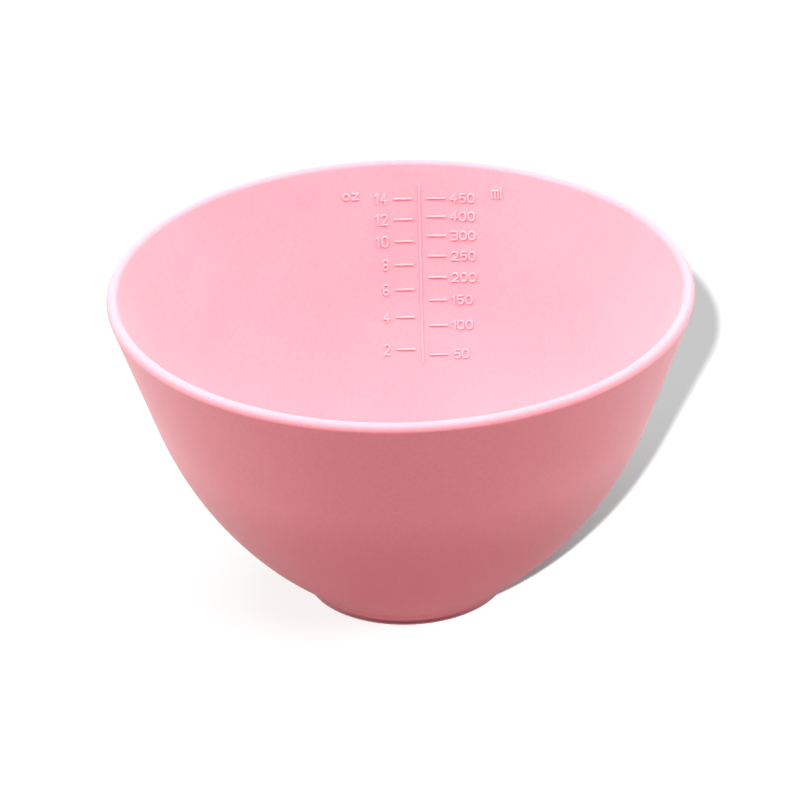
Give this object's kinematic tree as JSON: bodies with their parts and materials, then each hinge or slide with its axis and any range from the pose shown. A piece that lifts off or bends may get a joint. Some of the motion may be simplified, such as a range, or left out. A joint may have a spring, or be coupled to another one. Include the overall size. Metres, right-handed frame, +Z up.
{
  "type": "hair color mixing bowl",
  "caption": "Round soft mixing bowl with a flared wall, rounded rim, short ring foot and a raised fill scale inside.",
  "frame": {"origin": "centre of the foot's rest face, on the bowl's axis", "axes": "+Z up out of the bowl's mouth, the fill scale on the +Y side of the inner wall, +X to the right of someone who reads the scale"},
  "size_m": [0.134, 0.134, 0.076],
  "materials": {
    "silicone": "fine matte, slightly translucent",
    "silicone_relief": "fine matte, same material as the bowl"
  },
  "bodies": {
    "root": {"rim_lip": "silicone", "flared_wall": "silicone", "curved_wall": "silicone", "bowl_floor": "silicone", "foot_ring": "silicone", "scale_spine": "silicone_relief", "ml_ticks": "silicone_relief", "ml_numerals": "silicone_relief", "ml_unit_mark": "silicone_relief", "oz_ticks": "silicone_relief", "oz_numerals": "silicone_relief", "oz_unit_mark": "silicone_relief"}
  },
  "joints": []
}
